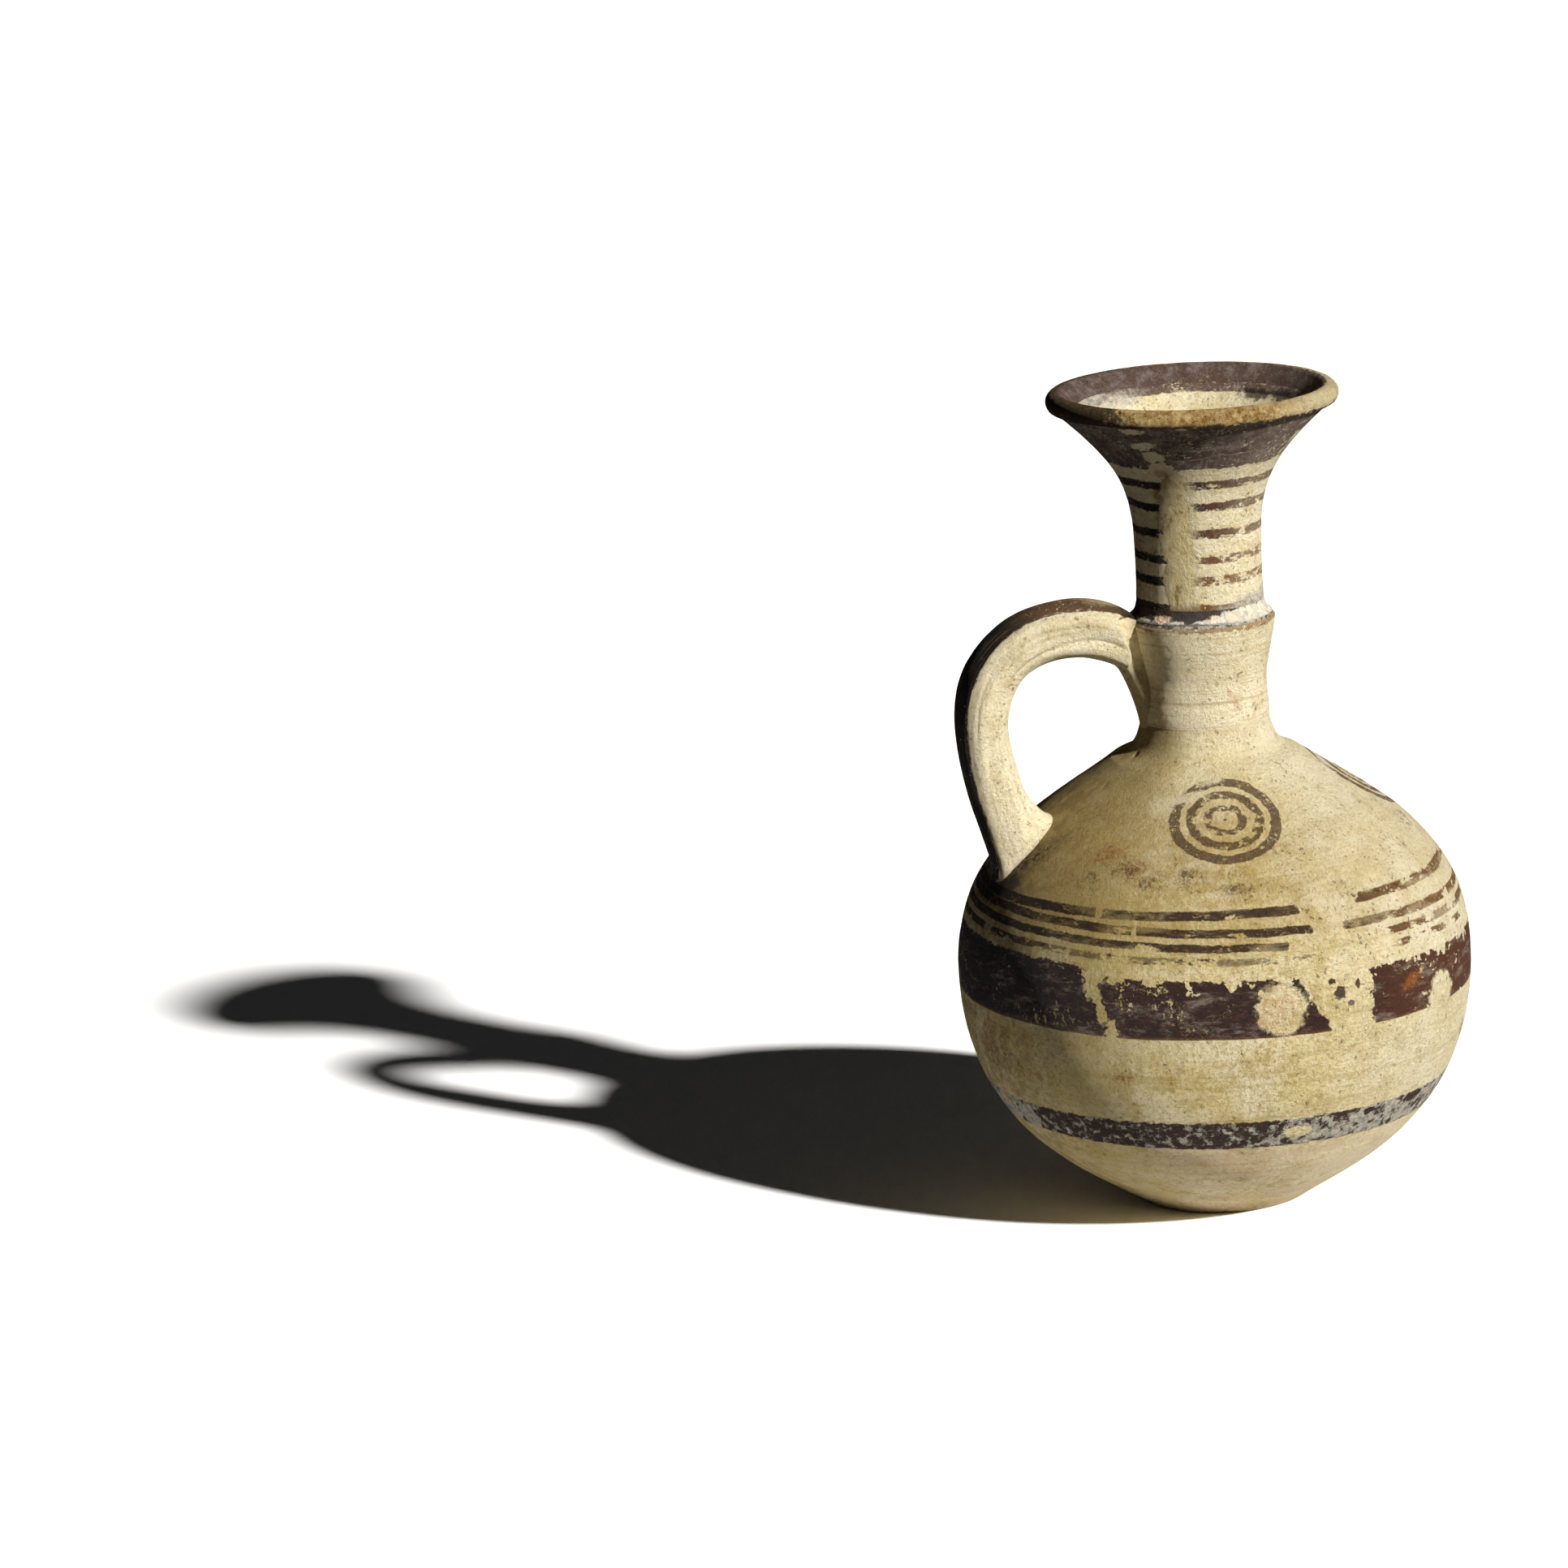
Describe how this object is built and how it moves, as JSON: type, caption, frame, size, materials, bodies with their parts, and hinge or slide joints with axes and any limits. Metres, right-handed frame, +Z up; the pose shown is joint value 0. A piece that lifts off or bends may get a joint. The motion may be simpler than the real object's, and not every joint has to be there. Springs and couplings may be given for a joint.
{
  "type": "ceramic jug",
  "caption": "Wheel-made round-bodied clay jug with a slim ridged neck, a trumpet mouth with a rolled lip, and a strap handle from neck to shoulder.",
  "frame": {"origin": "centre of the underside, on the surface that the jug stands on", "axes": "+Z up along the axis of the body and neck; the handle points along -X, in the XZ plane"},
  "size_m": [0.1452, 0.1452, 0.2319],
  "materials": {
    "cream_slip": "matte",
    "warm_slip": "matte",
    "painted_slip": "matte",
    "ochre_lip": "matte",
    "lime_deposit": "matte"
  },
  "bodies": {
    "root": {"body_bowl": "cream_slip", "shoulder_dome": "cream_slip", "neck_root_coil": "cream_slip", "lower_neck": "warm_slip", "ridge_slip_bead": "lime_deposit", "trumpet_neck": "painted_slip", "rolled_lip": "ochre_lip", "handle_strap": "warm_slip", "handle_neck_collar": "warm_slip", "handle_tail_collar": "warm_slip"}
  },
  "joints": []
}
